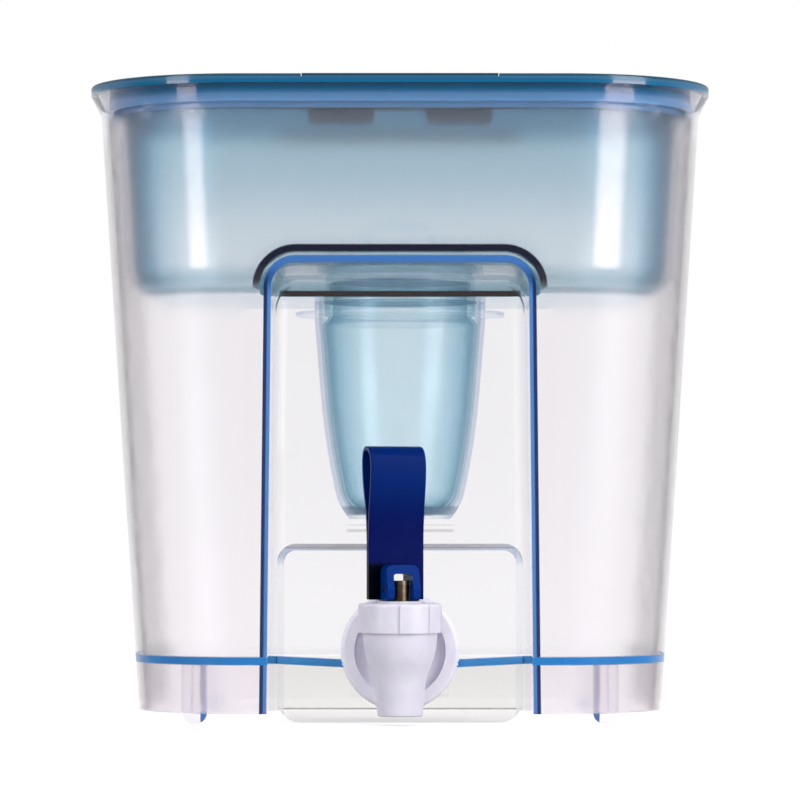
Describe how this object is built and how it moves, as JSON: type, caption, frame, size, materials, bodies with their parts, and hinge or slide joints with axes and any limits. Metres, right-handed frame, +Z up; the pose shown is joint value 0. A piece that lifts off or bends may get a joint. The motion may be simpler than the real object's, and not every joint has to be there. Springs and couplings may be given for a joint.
{
  "type": "gravity water filter",
  "caption": "Clear gravity water filter tank with a tinted hopper and cartridge, a lid with a refill flap, and a lever tap in a front niche.",
  "frame": {"origin": "centre of the outline on the surface that the filter stands on", "axes": "+X to the right seen from the front, +Y towards the back, +Z up; the tap faces -Y"},
  "size_m": [0.2694, 0.187, 0.2756],
  "materials": {
    "clear_plastic": "clear, polished",
    "tinted_hopper": "translucent teal blue",
    "tinted_lid": "translucent deep blue",
    "cup_plastic": "translucent pale blue",
    "white_plastic": "moulded white",
    "lever_plastic": "navy, polished",
    "stem_metal": "dull brass",
    "pin_steel": "stainless",
    "spring_steel": "spring wire",
    "seal_rubber": "translucent silicone",
    "mesh_cloth": "fine white mesh",
    "washer_plastic": "natural acetal",
    "media": "carbon and resin granules"
  },
  "bodies": {
    "tank": {"tank": "clear_plastic", "tap_body": "white_plastic", "wall_ring": "white_plastic", "outer_gasket": "seal_rubber", "inner_gasket": "seal_rubber", "wall_nut": "white_plastic", "bonnet_nut": "white_plastic", "bonnet_seal": "seal_rubber", "stem_seal": "seal_rubber", "return_spring": "spring_steel"},
    "hopper": {"hopper": "tinted_hopper", "cartridge_well": "cup_plastic"},
    "lid": {"lid": "tinted_lid"},
    "refill_flap": {"refill_flap": "tinted_lid"},
    "cartridge": {"cartridge_housing": "white_plastic", "cartridge_cap": "white_plastic", "cartridge_seal": "seal_rubber", "inlet_mesh": "mesh_cloth", "outlet_mesh": "mesh_cloth", "filter_media": "media"},
    "slip_washer": {"slip_washer": "washer_plastic"},
    "stem": {"stem": "stem_metal", "lever_pin": "pin_steel", "seat_cup": "seal_rubber"},
    "lever": {"lever": "lever_plastic"}
  },
  "joints": [
    {"name": "hopper_lift", "type": "slide", "parent": "tank", "child": "hopper", "axis": [0, 0, 1], "range_m": [0, 0.2]},
    {"name": "lid_lift", "type": "slide", "parent": "hopper", "child": "lid", "axis": [0, 0, 1], "range_m": [0, 0.06]},
    {"name": "flap_hinge", "type": "hinge", "parent": "lid", "child": "refill_flap", "pos_m": [0, 0.007, 0.2737], "axis": [-1, 0, 0], "range_deg": [0, 105]},
    {"name": "cartridge_lift", "type": "slide", "parent": "hopper", "child": "cartridge", "axis": [0, 0, 1], "range_m": [0, 0.05]},
    {"name": "lever_swivel", "type": "hinge", "parent": "tank", "child": "slip_washer", "pos_m": [0, -0.0745, 0.0528], "axis": [0, 0, 1], "range_deg": [-108, 72]},
    {"name": "stem_lift", "type": "slide", "parent": "slip_washer", "child": "stem", "axis": [0, 0, 1], "range_m": [0, 0.0014], "stiffness_N_per_m": 1200, "springref_m": -0.004, "deforming": ["return_spring"]},
    {"name": "lever_tilt", "type": "hinge", "parent": "stem", "child": "lever", "pos_m": [0, -0.0745, 0.058], "axis": [0.9511, 0.309, 0], "range_deg": [0, 40]}
  ],
  "couplings": [
    {"joint": "lever_tilt", "follows": "stem_lift", "rad_per_m": 500}
  ]
}
